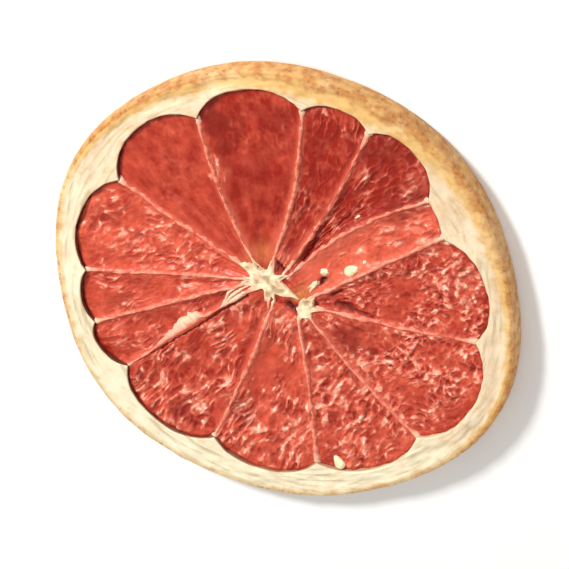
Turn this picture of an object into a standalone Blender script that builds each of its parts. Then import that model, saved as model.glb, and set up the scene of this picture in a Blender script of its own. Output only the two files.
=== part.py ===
"""A dried grapefruit slice, cut whole across the fruit, lying flat with its better face up.

The slice is one solid: a raised ring of peel, sunken segments of pulp between thin membranes,
a pithy core, and two undeveloped pips stuck in the pulp. It starts as a turned blank with a ring of
points for each station of its section. Each point is then put where that station lies on the real
fruit. Lengths are in metres and +Z is up. The origin is on the surface that the slice rests on,
under its middle.
"""

from math import atan2, cos, exp, pi, radians, sin, sqrt, tau
from typing import NamedTuple

import bmesh
import bpy
from mathutils import Matrix, Vector, noise

MM = 0.001

# Peel: the ring of white pith, with the coloured rind round its edge
RIM_RADIUS = 43.0 * MM
THICKNESS = 4.8 * MM
RIM_BELLY = 0.25 * MM
RIM_ROUNDING = 1.1 * MM
LIP_WIDTH = 0.5 * MM
LIP_DROP = 0.15 * MM

# Waves of the rim's outline: how many go round, their height, and the direction of one crest
RIM_WAVES = (
    (1, 0.25 * MM, -90.0),
    (3, 0.25 * MM, -28.0),
    (4, 0.50 * MM, -33.0),
    (6, 0.30 * MM, -27.0),
)

# Drying sinks a furrow along the pith of the top face, deepest where the pith is widest
FURROW = 0.40 * MM
FURROW_DIRECTION = 40.0
FURROW_PLACE = 0.55

# Drying also lifts the rim between the three stretches that stay on the tray
LIFT_WAVES = ((3, 0.62 * MM, 84.0), (2, 0.22 * MM, 10.0))
TOP_LIFT_SHARE = 0.75

# Core: an oval of pith
CORE_MIDDLE = Vector((-0.4 * MM, 0.1 * MM))
CORE_HALF_LENGTH = 5.6 * MM
CORE_HALF_WIDTH = 3.0 * MM
CORE_DIRECTION = -37.0
CORE_DROP = 0.35 * MM

# Pulp: how far it lies inside the faces of the peel, and how much more between membranes
PULP_DROP = 0.65 * MM
PULP_SAG = 0.70 * MM
EDGE_DIP = 0.25 * MM
MEMBRANE_RISE = 0.38 * MM

# Juice sacs: lumps of the pulp that point at the core, halfway out as wide as this
SAC_HEIGHT = 0.45 * MM
SAC_LENGTH = 7.0 * MM
SAC_WIDTH = 2.4 * MM


class Membrane(NamedTuple):
    """The wall between two segments, from the core to the pith, and the flesh that follows it."""

    root: float  # direction from the core's middle in which it leaves the core
    cusp: float  # direction from the slice's middle in which it meets the pith
    reach: float  # how far out it meets the pith
    lobe: float  # how far out the flesh of the next segment bulges
    bow: float  # how far it bends sideways, positive when anticlockwise
    half_width: float  # of its ridge, which is broad where it has fallen over


# In order anticlockwise, with directions counted from +X
MEMBRANES = (
    Membrane(-21.6, 22.9, 33.0 * MM, 34.1 * MM, 0.0 * MM, 0.35 * MM),
    Membrane(55.0, 35.0, 34.6 * MM, 39.3 * MM, 2.0 * MM, 0.35 * MM),
    Membrane(69.1, 60.1, 37.2 * MM, 39.1 * MM, -0.8 * MM, 0.30 * MM),
    Membrane(109.7, 79.2, 36.5 * MM, 39.4 * MM, -1.5 * MM, 0.40 * MM),
    Membrane(135.0, 111.0, 35.2 * MM, 38.4 * MM, 1.2 * MM, 0.30 * MM),
    Membrane(146.0, 145.9, 34.6 * MM, 38.8 * MM, 0.4 * MM, 0.35 * MM),
    Membrane(161.0, 178.7, 36.8 * MM, 38.5 * MM, 0.0 * MM, 0.25 * MM),
    Membrane(168.0, 194.9, 37.3 * MM, 38.6 * MM, 0.0 * MM, 0.20 * MM),
    Membrane(175.0, 210.6, 35.6 * MM, 39.4 * MM, 0.0 * MM, 0.90 * MM),
    Membrane(246.8, 244.1, 35.7 * MM, 38.7 * MM, 0.4 * MM, 0.40 * MM),
    Membrane(306.1, 275.9, 35.8 * MM, 38.4 * MM, 0.3 * MM, 0.35 * MM),
    Membrane(319.0, 310.2, 36.2 * MM, 39.7 * MM, -0.8 * MM, 0.35 * MM),
    Membrane(326.8, 348.6, 36.1 * MM, 38.0 * MM, -0.3 * MM, 0.30 * MM),
)
LOBE_FULLNESS = 2.6


class Pip(NamedTuple):
    """A pip in the top face: its segment, how far it lies over and along it, and its direction."""

    segment: int
    across: float
    along: float
    direction: float


PIPS = (Pip(0, 0.16, 0.36, 30.0), Pip(10, 0.19, 0.955, 115.0))
PIP_HALF_SIZES = (1.35 * MM, 0.95 * MM, 0.65 * MM)


class Gap(NamedTuple):
    """A small gap in the top face where the pulp has shrunk away from the core."""

    middle: Vector
    radius: float
    depth: float


GAPS = (
    Gap(Vector((0.4 * MM, 4.0 * MM)), 0.9 * MM, 0.9 * MM),
    Gap(Vector((1.8 * MM, -4.1 * MM)), 0.9 * MM, 1.1 * MM),
    Gap(Vector((7.9 * MM, 2.0 * MM)), 1.0 * MM, 0.8 * MM),
)

# The stations of the section, from the middle of a face outwards, and the columns round the slice
CORE_SHARES = (0.0, 0.55)
TOP_PULP_SHARES = (0.0, 0.025, 0.06, 0.11, 0.17, 0.27, 0.39, 0.51, 0.64, 0.76, 0.87, 0.95, 1.0)
UNDER_PULP_SHARES = (0.0, 0.08, 0.22, 0.40, 0.58, 0.75, 0.90, 1.0)
COLUMNS_IN_SEGMENT = 11
COLUMNS = COLUMNS_IN_SEGMENT * len(MEMBRANES)
COLUMN_CROWDING = 0.72
TOP, UNDER = 1.0, -1.0

# Each material's colour as linear red, green and blue, and its roughness
FINISHES = {
    "pulp": ((0.55, 0.10, 0.06), 0.35),
    "pith": ((0.87, 0.72, 0.46), 0.75),
    "rind": ((0.66, 0.37, 0.13), 0.60),
    "pip": ((0.85, 0.70, 0.50), 0.40),
}
SLICE_MATERIALS = ("pulp", "pith", "rind")


def between(start, end, share):
    return start + (end - start) * share


def eased(share):
    """From 0 to 1 with a gentle start and end."""
    share = min(max(share, 0.0), 1.0)
    return share * share * (3.0 - 2.0 * share)


def heading(direction):
    return Vector((cos(direction), sin(direction)))


def waves(table, direction):
    """The sum of a table's waves in one direction."""
    return sum(height * cos(count * (direction - radians(crest))) for count, height, crest in table)


def onwards(start, end, share):
    """A direction between two others given in degrees, going anticlockwise."""
    return radians(start + (end - start) % 360.0 * share)


def core_edge(direction):
    """The point of the core's oval outline that lies in one direction from its middle."""
    turned = heading(direction - radians(CORE_DIRECTION))
    radius = 1.0 / sqrt((turned.x / CORE_HALF_LENGTH) ** 2 + (turned.y / CORE_HALF_WIDTH) ** 2)
    return CORE_MIDDLE + heading(direction) * radius


class Column:
    """A line from the core to the rim, at a share of the way over one segment."""

    def __init__(self, segment, across):
        first = MEMBRANES[segment]
        second = MEMBRANES[(segment + 1) % len(MEMBRANES)]
        self.across = across
        self.direction = onwards(first.cusp, second.cusp, across)
        self.span = onwards(0.0, second.cusp - first.cusp, 1.0)
        bulge = first.lobe - (first.reach + second.reach) / 2.0
        fullness = 1.0 - abs(2.0 * across - 1.0) ** LOBE_FULLNESS
        self.reach = between(first.reach, second.reach, across) + bulge * fullness
        self.bow = between(first.bow, second.bow, across)
        self.inner = core_edge(onwards(first.root, second.root, across))
        self.outer = heading(self.direction) * self.reach
        self.rim = RIM_RADIUS + waves(RIM_WAVES, self.direction)
        self.ridge_half_width = (first if across < 0.5 else second).half_width

    def in_pulp(self, along):
        line = self.outer - self.inner
        sideways = Vector((-line.y, line.x)).normalized()
        return self.inner + line * along + sideways * self.bow * sin(pi * along)

    def to_membrane(self, along):
        """How far a point of the pulp lies from the nearest membrane."""
        return min(self.across, 1.0 - self.across) * self.span * self.reach * along


def face_height(point, face):
    """The height of the peel's top or under face, warped by drying, carried on over the pulp."""
    lift = waves(LIFT_WAVES, atan2(point.y, point.x)) * eased(point.length / RIM_RADIUS)
    if face == TOP:
        return THICKNESS + lift * TOP_LIFT_SHARE
    return max(lift, 0.0)


def in_face(point, depth, face):
    """A point of the plan, at a depth inside one face of the slice."""
    return Vector((point.x, point.y, face_height(point, face) - face * depth))


def gap_depth(point, face):
    if face == UNDER:
        return 0.0
    return sum(
        gap.depth * exp(-((point - gap.middle).length_squared) / gap.radius**2) for gap in GAPS
    )


def pulp_depth(column, along, point, face):
    """How far the pulp lies inside the face, with its sag, its lumps and the membranes."""
    middle = 1.0 - abs(2.0 * column.across - 1.0)
    sag = PULP_SAG * sqrt(middle) * eased(along / 0.35) * between(1.0, 0.6, eased(2.0 * along - 1.0))
    dip = EDGE_DIP * eased((along - 0.85) / 0.15)
    ridge = MEMBRANE_RISE / (1.0 + (column.to_membrane(along) / column.ridge_half_width) ** 2)
    turned = column.direction * RIM_RADIUS / 2.0 / SAC_WIDTH
    lump = SAC_HEIGHT * noise.noise(Vector((turned, point.length / SAC_LENGTH, 3.0 * face)))
    lump *= eased(4.0 * middle) * eased(along / 0.15)
    return PULP_DROP + sag + dip - ridge - lump + gap_depth(point, face)


def core_point(column, share, face):
    point = between(CORE_MIDDLE, column.inner, share)
    drop = between(CORE_DROP, PULP_DROP - MEMBRANE_RISE, share)
    return in_face(point, drop + gap_depth(point, face), face)


def pulp_point(column, along, face):
    point = column.in_pulp(along)
    return in_face(point, pulp_depth(column, along, point, face), face)


def peel_points(column, face):
    """The peel's points on one face, from its lip over the pulp to the side of the rim."""
    furrow = FURROW * (1.0 + cos(column.direction - radians(FURROW_DIRECTION))) / 2.0
    profile = (
        (column.reach + LIP_WIDTH, LIP_DROP),
        (between(column.reach, column.rim, FURROW_PLACE), furrow if face == TOP else 0.0),
        (column.rim - RIM_ROUNDING, 0.0),
        (column.rim - 0.3 * RIM_ROUNDING, 0.3 * RIM_ROUNDING),
        (column.rim + 0.4 * RIM_BELLY, RIM_ROUNDING),
    )
    return [in_face(heading(column.direction) * radius, drop, face) for radius, drop in profile]


def half_section(column, face):
    """The points of one face along a column, from the core's middle to the side of the rim."""
    shares = TOP_PULP_SHARES if face == TOP else UNDER_PULP_SHARES
    points = [core_point(column, share, face) for share in CORE_SHARES]
    points += [pulp_point(column, along, face) for along in shares]
    return points + peel_points(column, face)


def section(column):
    """A column's points from the middle of the top, round the rim, to the middle of the underside."""
    top, under = half_section(column, TOP), half_section(column, UNDER)
    outward = heading(column.direction).to_3d() * RIM_BELLY * 0.6
    return top + [(top[-1] + under[-1]) / 2.0 + outward] + under[::-1]


def band_materials():
    """The material between each point of the section and the next."""
    halves = [
        ["pith"] * len(CORE_SHARES) + ["pulp"] * (len(shares) - 1) + ["pith"] * 3 + ["rind"] * 3
        for shares in (TOP_PULP_SHARES, UNDER_PULP_SHARES)
    ]
    return halves[0] + halves[1][::-1]


def turned_blank(stations):
    """A closed drum spun from a line of points, each marked with its station."""
    bm = bmesh.new()
    mark = bm.verts.layers.int.new("station")
    line = []
    for station in range(stations):
        on_axis = station in (0, stations - 1)
        line.append(bm.verts.new((0.0 if on_axis else 1.0, 0.0, float(stations - station))))
        line[-1][mark] = station
    edges = [bm.edges.new(pair) for pair in zip(line, line[1:])]
    bmesh.ops.spin(
        bm,
        geom=line + edges,
        cent=(0.0, 0.0, 0.0),
        axis=(0.0, 0.0, 1.0),
        angle=tau,
        steps=COLUMNS,
        use_merge=True,
    )
    bmesh.ops.remove_doubles(bm, verts=bm.verts, dist=1e-4)
    return bm, mark


def column_at(turn):
    """One of the columns round the slice, which crowd towards the membranes."""
    segment, step = divmod(turn, COLUMNS_IN_SEGMENT)
    share = step / COLUMNS_IN_SEGMENT
    return Column(segment, share - COLUMN_CROWDING * sin(tau * share) / tau)


def slice_mesh():
    """The slice without its pips."""
    sections = [section(column_at(turn)) for turn in range(COLUMNS)]
    bm, mark = turned_blank(len(sections[0]))
    bands = band_materials()
    for face in bm.faces:
        band = min(point[mark] for point in face.verts)
        face.material_index = SLICE_MATERIALS.index(bands[band])
    for point in bm.verts:
        turn = round(atan2(point.co.y, point.co.x) / tau * COLUMNS) % COLUMNS
        point.co = sections[turn][point[mark]]
    bmesh.ops.triangulate(bm, faces=bm.faces, quad_method="SHORT_EDGE")
    bmesh.ops.recalc_face_normals(bm, faces=bm.faces)
    return finished_mesh(bm, "slice", SLICE_MATERIALS)


def pip_mesh(pip):
    """An undeveloped pip: a small flattened oval, half sunk in the pulp."""
    bm = bmesh.new()
    place = Matrix.Translation(pulp_point(Column(pip.segment, pip.across), pip.along, TOP))
    turn = Matrix.Rotation(radians(pip.direction), 4, "Z")
    shape = Matrix.Diagonal((*PIP_HALF_SIZES, 1.0))
    bmesh.ops.create_icosphere(bm, subdivisions=2, radius=1.0, matrix=place @ turn @ shape)
    return finished_mesh(bm, "pip", ("pip",))


def finished_mesh(bm, name, materials):
    mesh = bpy.data.meshes.new(name)
    bm.to_mesh(mesh)
    bm.free()
    for finish in materials:
        mesh.materials.append(material(finish))
    mesh.shade_smooth()
    mesh.set_sharp_from_angle(angle=radians(50.0))
    return mesh


def material(name):
    found = bpy.data.materials.get(name)
    if found:
        return found
    colour, roughness = FINISHES[name]
    made = bpy.data.materials.new(name)
    made.use_nodes = True
    shader = made.node_tree.nodes["Principled BSDF"]
    shader.inputs["Base Color"].default_value = (*colour, 1.0)
    shader.inputs["Roughness"].default_value = roughness
    made.diffuse_color = (*colour, 1.0)
    return made


def fused(body, additions):
    """Joins a collection's objects to the body with one union, and removes them."""
    union = body.modifiers.new("pips", "BOOLEAN")
    union.operation = "UNION"
    union.operand_type = "COLLECTION"
    union.collection = additions
    union.material_mode = "TRANSFER"
    bpy.context.view_layer.update()
    evaluated = body.evaluated_get(bpy.context.evaluated_depsgraph_get())
    joined = bpy.data.meshes.new_from_object(evaluated)
    body.modifiers.clear()
    body.data = joined
    joined.name = body.name
    for extra in list(additions.objects):
        bpy.data.objects.remove(extra)
    bpy.data.collections.remove(additions)


def main():
    for leftover in list(bpy.data.objects):
        bpy.data.objects.remove(leftover)
    scene = bpy.context.scene
    whole = bpy.data.objects.new("slice", slice_mesh())
    scene.collection.objects.link(whole)
    pips = bpy.data.collections.new("pips")
    scene.collection.children.link(pips)
    for pip in PIPS:
        pips.objects.link(bpy.data.objects.new("pip", pip_mesh(pip)))
    fused(whole, pips)


main()
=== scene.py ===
"""The looks of a dried grapefruit slice, laid flat on a pale floor.

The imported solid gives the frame. The pieces that stand for it are the peel, one piece of pulp for
each segment, the walls between the segments, the core, two undeveloped pips and some crumbs. They
follow the same named sizes as the solid, with the fine relief of dried citrus added. Lengths are
in metres and +Z is up. Directions are anticlockwise from +X, in degrees where a table or a constant
gives them and in radians where they are worked out.
"""

from math import atan2, cos, exp, hypot, pi, radians, sin, sqrt, tau
from typing import NamedTuple

import bmesh
import bpy
from mathutils import Matrix, Vector, noise


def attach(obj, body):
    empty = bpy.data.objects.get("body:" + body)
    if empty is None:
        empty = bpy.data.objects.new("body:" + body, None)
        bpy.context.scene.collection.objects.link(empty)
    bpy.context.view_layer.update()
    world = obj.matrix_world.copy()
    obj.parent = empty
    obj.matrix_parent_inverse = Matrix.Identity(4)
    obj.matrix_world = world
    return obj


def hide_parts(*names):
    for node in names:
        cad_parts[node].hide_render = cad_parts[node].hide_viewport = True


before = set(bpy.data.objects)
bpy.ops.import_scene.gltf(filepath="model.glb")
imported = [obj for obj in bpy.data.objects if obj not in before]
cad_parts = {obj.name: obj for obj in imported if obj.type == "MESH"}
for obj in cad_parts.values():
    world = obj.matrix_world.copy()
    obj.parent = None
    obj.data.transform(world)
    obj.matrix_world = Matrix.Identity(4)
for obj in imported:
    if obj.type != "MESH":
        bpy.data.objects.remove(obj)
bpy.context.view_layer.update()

MM = 0.001
TOP, UNDER = 1.0, -1.0

# How finely each piece is divided
PULP_COLUMNS, PULP_ROWS = ((136, 144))
PEEL_COLUMNS_IN_SEGMENT = 80
PEEL_ROWS = (("top", 34), ("side", 20), ("under", 12), ("wall", 10))
PEEL_ROW_STEP = 1
WALL_SIDES, WALL_RINGS = 12, 180
BED_COLUMNS, BED_RINGS = ((240, 30))
LOBE_COLUMNS, LOBE_RINGS = ((540, 30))

# Noise takes each pattern from a layer of its own, and so do segments, faces, pips and crumbs
PATTERN_STEP, PATTERN_START = 7.7, 0.37
SEGMENT_STEP, FACE_STEP, SEED_STEP = 5.3, 3.0, 9.0
LOT_STEP = 9.1  # spreads the middles of the juice sacs, so that each draws its own random number

# This many of its radii away, a patch or a crease has no effect that shows
NEGLIGIBLE = 2.5


class Unevenness(NamedTuple):
    """Smooth unevenness in lumps of one size. It reaches about 0.8 of its height up and down."""

    height: float
    size: float
    pattern: float  # each kind of unevenness has a pattern of its own

    def at(self, point, shift=0.0):
        """Its value at a point of the plan. A face or a piece shifts the pattern to its own."""
        layer = PATTERN_STEP * (self.pattern + shift) + PATTERN_START
        return self.height * noise.noise(Vector((point.x / self.size, point.y / self.size, layer)))


def plan_mm(x, y):
    """A point of the plan, given in millimetres."""
    return Vector((x * MM, y * MM))


# Peel: the ring of white pith, with the coloured rind round its edge
RIM_RADIUS = 43.0 * MM
THICKNESS = 4.8 * MM
RIM_BELLY = 0.25 * MM
RIM_TURN = 0.605 * MM  # how far from the side the faces begin to turn down
RIM_FULLNESS, RIM_SQUARENESS = 0.45, 0.9
RIM_WAVES = (
    (1, 0.25 * MM, -90.0),
    (3, 0.25 * MM, -28.0),
    (4, 0.50 * MM, -33.0),
    (6, 0.30 * MM, -27.0),
)
RIM_DENT, RIM_DENT_SIZE = 0.10 * MM, 1.6 * MM
FURROW = 0.40 * MM
FURROW_DIRECTION = 40.0
FURROW_PLACE, FURROW_WIDTH = 0.55, 0.22  # as shares of the ring's width
LIFT_WAVES = ((3, 0.62 * MM, 84.0), (2, 0.22 * MM, 10.0))
TOP_LIFT_SHARE = 0.75
LIP_DROP, LIP_WIDTH = 0.14 * MM, 0.4 * MM
LIP_WAVER = Unevenness(0.28 * MM, 1.6 * MM, 55.0)
SHOULDER_DROP, SHOULDER_WIDTH = 0.30 * MM, 1.6 * MM
WRINKLE_HEIGHT, WRINKLE_LENGTH, WRINKLE_SPACING = 0.13 * MM, 4.0 * MM, 0.7 * MM
WRINKLE_BEND = Unevenness(0.9 * MM, 4.0 * MM, 48.0)
PITH_LUMPS = Unevenness(0.20 * MM, 3.4 * MM, 50.0)
PEEL_CROWDING = 0.5

# Rind: its golden edge runs furthest over the top face at the upper right
GOLDEN_DIRECTION = 62.0
GOLDEN_WIDTHS = (1.7 * MM, 6.4 * MM)
GOLDEN_NARROWNESS = 5
RIND_EDGE = 0.1 * MM
TOASTED_DIRECTION, TOASTED_LEVEL, TOASTED_CONTRAST = 58.0, 0.72, 0.75

# The flesh's edge and the peel's lip are painted dark, most at the left: partly browning all round, and
# partly painted shadow of the pith's edge
EDGE_SHADOW_DIRECTION = 150.0
LEAST_BROWNED = 0.25
BROWNED_AND_SHADED_LIP_WIDTH = 0.10 * MM
EDGE_LINE_WIDTH, EDGE_LINE_WAVER, EDGE_LINE_FADED = 0.65 * MM, 0.4 * MM, 0.75
EDGE_FADING = Unevenness(1.0, 2.5 * MM, 15.0)

# Core: an oval of pith
CORE_MIDDLE = plan_mm(-0.4, 0.1)
CORE_HALF_LENGTH = 5.6 * MM
CORE_HALF_WIDTH = 3.0 * MM
CORE_DIRECTION = -37.0
CORE_TUCK = 0.7 * MM

# Pulp: how far it lies inside the faces of the peel, and how much more between membranes
PULP_DROP = 0.65 * MM
PULP_SAG = 0.70 * MM
SAG_START, OUTER_SAG = 0.35, 0.25  # how far out the sag is full, and what is left of it at the pith
EDGE_DIP, EDGE_DIP_START = 0.10 * MM, 0.85
END_SLOPE = 0.8
MEMBRANE_RISE = 0.30 * MM
PULP_TUCK = 0.8 * MM
PULP_CROWDING = 0.45

# Lumps of the pulp, each a few juice sacs
LUMP_HEIGHT = 0.45 * MM
LUMP_LENGTH = 7.0 * MM
LUMP_WIDTH = 2.4 * MM
LUMP_FADING_ACROSS, LUMP_FADING_ALONG = 0.25, 0.15

# Juice sacs: dried cells, each sunk to a bowl between raised walls
SAC_WIDTH = 1.2 * MM
SAC_SINK, BOWL_LEVEL = 0.40 * MM, 0.45
SAC_STEP, LEAST_STEP = 0.36 * MM, 0.2
SAC_WALL_SHARE = 0.32
SAC_BOWL_SHARE = 0.60
SAC_BEND = Unevenness(0.6 * MM, 2.3 * MM, 1.0)
SAC_WOBBLE = Unevenness(0.2 * MM, 0.9 * MM, 2.0)
SAC_SHIFT = Unevenness(0.4, 2.9 * MM, 4.0)
STROKE_BEND = Unevenness(1.6 * MM, 6.0 * MM, 85.0)
RADIAL_SPREAD = 0.6  # the share of a segment's outer width towards which its sacs are evened out
# The relief of the sacs that is left at a membrane, and how far from it and from the pith it is full
SAC_BY_MEMBRANE, SAC_FULL, SAC_END = 0.4, 0.9 * MM, 1.0 * MM
KNOBS = Unevenness(1.0, 0.8 * MM, 12.0)
KNOB_HEIGHT, LEAST_KNOB = 0.16 * MM, 0.3
CLEARINGS = Unevenness(1.3, 5.0 * MM, 9.0)
CLEARED_WEB = 0.35
SUNK_LOTS, SUNK_SHADE = (0.76, 0.86), 0.55
WALL_SHOWING, WALL_WAVER = 0.85, 0.9
PINK_WIDTH, PINK_SHARE, PINK_START = 0.60 * MM, 0.7, 4.0 * MM


class Membrane(NamedTuple):
    """The wall between two segments, from the core to the pith, and the flesh that follows it."""

    root: float  # direction from the core's middle in which it leaves the core
    cusp: float  # direction from the slice's middle in which it meets the pith
    reach: float  # how far out it meets the pith
    lobe: float  # how far out the flesh of the next segment bulges
    bow: float  # how far it bends sideways, positive when anticlockwise
    half_width: float  # of its ridge, which is broad where it has fallen over
    broken: float  # how far its edge comes and goes


MEMBRANES = (
    Membrane(-21.6, 22.9, 33.0 * MM, 34.1 * MM, 0.0 * MM, 0.35 * MM, 0.3),
    Membrane(55.0, 35.0, 34.6 * MM, 39.3 * MM, 2.0 * MM, 0.35 * MM, 0.3),
    Membrane(69.1, 60.1, 37.2 * MM, 39.1 * MM, -0.8 * MM, 0.30 * MM, 0.6),
    Membrane(109.7, 79.2, 36.5 * MM, 39.4 * MM, -1.5 * MM, 0.40 * MM, 0.3),
    Membrane(135.0, 111.0, 35.2 * MM, 38.4 * MM, 1.2 * MM, 0.30 * MM, 0.6),
    Membrane(146.0, 145.9, 34.6 * MM, 38.8 * MM, 0.4 * MM, 0.35 * MM, 0.7),
    Membrane(161.0, 178.7, 36.8 * MM, 38.5 * MM, 0.0 * MM, 0.25 * MM, 0.6),
    Membrane(168.0, 194.9, 37.3 * MM, 38.6 * MM, 0.0 * MM, 0.20 * MM, 0.9),
    Membrane(175.0, 210.6, 35.6 * MM, 39.4 * MM, 0.0 * MM, 0.90 * MM, 0.0),
    Membrane(246.8, 244.1, 35.7 * MM, 38.7 * MM, 0.4 * MM, 0.40 * MM, 0.3),
    Membrane(306.1, 275.9, 35.8 * MM, 38.4 * MM, 0.3 * MM, 0.35 * MM, 0.1),
    Membrane(319.0, 310.2, 36.2 * MM, 39.7 * MM, -0.8 * MM, 0.35 * MM, 0.2),
    Membrane(326.8, 348.6, 36.1 * MM, 38.0 * MM, -0.3 * MM, 0.30 * MM, 0.5),
)
LOBE_FULLNESS = 2.6

# Segment walls: thin ribbons that stand a little above the pulp on both faces
WALL_HALF_WIDTH, THINNEST_WALL = 0.40 * MM, 0.10 * MM
WALL_WIDTHS = (0.7, 1.1)  # as shares of the half width, for a ridge of no width and a usual one
WALL_IN_CORE, WALL_IN_PITH = 1.5 * MM, 1.0 * MM
WALL_STANDING, WALL_SHARPNESS = 0.48 * MM, 0.4
WALL_SWAY = Unevenness(0.22 * MM, 2.6 * MM, 31.0)
NODULES = (Unevenness(0.7, 0.9 * MM, 21.0), Unevenness(0.5, 2.4 * MM, 22.0))
NODULE_HEIGHT, CREAM_NODULES = 0.13 * MM, 0.8
FLARE_WIDTH, FLARE_LENGTH = 0.4 * MM, 0.8 * MM
BREAKS = Unevenness(2.0, 2.6 * MM, 51.0)
BREAK_LEVEL, BREAK_DEPTH, FIRST_BREAK = 0.3, 0.44 * MM, 6.0 * MM
CREAM_AT_CORE, CREAM_AT_PITH = 3.0 * MM, 1.2 * MM

# Pleats of a wall that has fallen over, which also stripe its colour
PLEAT_SPACING, PLEAT_SLANT, PLEAT_PATTERN = 0.55 * MM, 2.2, 23.0
PLEAT_WIDTH, PLEAT_CREAM, PLEAT_STRIPES = 0.45, 0.85, 0.7

# The wall that fell over. Each pair says how far from the core a change starts and where it is full
FALLEN_MEMBRANE = 8
FALLEN_START, FALLEN_END = (12.3 * MM, 14.1 * MM), (27.0 * MM, 16.0 * MM)
FALLEN_BY_CORE = (9.0 * MM, 5.0 * MM)
FALLEN_HALF_WIDTHS, FALLEN_CORE_WIDTH = (0.30 * MM, 1.22 * MM), 0.25 * MM
FALLEN_LEAN, FALLEN_DROP = 0.84 * MM, 0.32
FALLEN_CREAM, FALLEN_CORE_CREAM = 0.85, 0.9
FOLD_COUNT = 2
FOLD_LENGTH, FOLD_FADING = 8.5 * MM, 3.5 * MM
FOLD_STEP, FOLD_DROP = 0.85 * MM, 0.05
FOLD_HALF_WIDTH, FOLD_CREAM = 0.36 * MM, 0.9


class Flesh(NamedTuple):
    """How one segment's flesh has dried."""

    web: float  # how far its sac walls stand out, and how pale they are
    tone: float  # 0 is deep red and 1 is salmon
    sac_length: float
    strokes: float  # the direction in which its sacs lie, or RADIAL


RADIAL = None

# In the order of MEMBRANES: each row is the flesh that follows that membrane anticlockwise
FLESHES = (
    Flesh(0.85, 1.00, 3.6 * MM, RADIAL),
    Flesh(0.80, 0.00, 3.4 * MM, RADIAL),
    Flesh(0.80, 0.05, 3.6 * MM, RADIAL),
    Flesh(0.25, 0.22, 4.0 * MM, RADIAL),
    Flesh(0.20, 0.38, 4.0 * MM, RADIAL),
    Flesh(0.58, 0.68, 2.6 * MM, 35.0),
    Flesh(0.62, 0.62, 2.8 * MM, 30.0),
    Flesh(0.52, 0.44, 3.0 * MM, 40.0),
    Flesh(0.75, 0.42, 3.4 * MM, 50.0),
    Flesh(1.00, 0.66, 3.0 * MM, 52.0),
    Flesh(1.00, 0.50, 2.8 * MM, 56.0),
    Flesh(0.95, 0.52, 1.6 * MM, 48.0),
    Flesh(0.85, 0.40, 1.5 * MM, 38.0),
)


class Patch(NamedTuple):
    """A patch of the flesh that dried differently. Its place and radius are in millimetres."""

    x: float
    y: float
    radius: float
    darkening: float
    smoothing: float  # how far its sac walls are lost
    paleness: float


PATCHES = (
    Patch(22.5, 17.5, 2.4, 0.45, 0.2, 0.0),
    Patch(26.0, 20.5, 1.6, 0.45, 0.0, 0.0),
    Patch(11.8, -9.5, 2.4, 0.50, 0.6, 0.0),
    Patch(-5.0, -15.5, 4.6, 0.0, 1.0, 0.0),
    Patch(-10.5, -25.5, 2.6, 0.30, 0.0, 0.0),
    Patch(9.5, 30.0, 2.4, 0.20, 0.3, 0.0),
    Patch(27.8, 22.6, 3.2, 0.0, 0.2, 1.0),
    Patch(-9.8, 32.3, 3.0, 0.64, 0.6, 0.0),
    Patch(-8.8, 28.6, 2.2, 0.48, 0.6, 0.0),
    Patch(2.0, 33.0, 2.6, 0.30, 0.0, 0.0),
    Patch(20.3, 29.2, 3.6, 0.40, 0.2, 0.0),
    Patch(-10.3, 24.4, 1.3, 0.0, 0.0, 0.9),
    Patch(-9.8, 21.6, 1.6, 0.0, 0.0, 0.9),
    Patch(-3.0, 21.0, 5.0, 0.20, 0.6, 0.0),
    Patch(-21.5, -27.5, 2.0, 0.40, 0.0, 0.0),
    Patch(-31.0, -5.0, 2.0, 0.25, 0.0, 0.0),
    Patch(12.5, -17.0, 2.6, 0.0, 0.0, 0.9),
    # A pale patch where the flesh glints: partly pale walls, partly painted highlight
    Patch(32.5, 5.0, 4.5, 0.0, 0.0, 0.7),
    Patch(20.5, 11.5, 2.6, 0.0, 0.0, 0.6),
    Patch(21.0, 1.0, 3.4, 0.0, 0.6, 0.0),
    # A pale patch where the flesh glints: partly pale walls, partly painted highlight
    Patch(-29.0, 7.0, 2.6, 0.0, 0.0, 0.8),
    Patch(1.5, -27.5, 3.0, 0.0, 0.0, 0.6),
)
PATCH_FULLNESS, PATCH_FADING = 1.3, 0.75
PATCH_EDGE = Unevenness(0.8, 1.7 * MM, 81.0)
PALE_WEB, PALE_WALL = 0.9, 0.45

# Places stained amber by the dried core: where each is, its radius and its strength
AMBER_SPOTS = (
    (4.7 * MM, 0.2 * MM, 1.4 * MM, 0.8),
    (2.9 * MM, -1.0 * MM, 1.4 * MM, 0.8),
    (-2.4 * MM, 7.0 * MM, 2.4 * MM, 0.5),
    (-5.6 * MM, 5.2 * MM, 1.6 * MM, 0.4),
)
AMBER_CLOUDS = Unevenness(0.6, 1.2 * MM, 75.0)


class Crease(NamedTuple):
    """A crease of the top face where the flesh has torn away, from one point to another, painted dark as
    shade in it.
    """

    start: Vector
    end: Vector
    radius: float
    depth: float
    dark: float  # painted shade in the crease, from 0 to 1, which is nearly black


def crease(x, y, to_x, to_y, radius, depth, dark):
    """A crease given in millimetres."""
    return Crease(plan_mm(x, y), plan_mm(to_x, to_y), radius * MM, depth * MM, dark)


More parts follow.
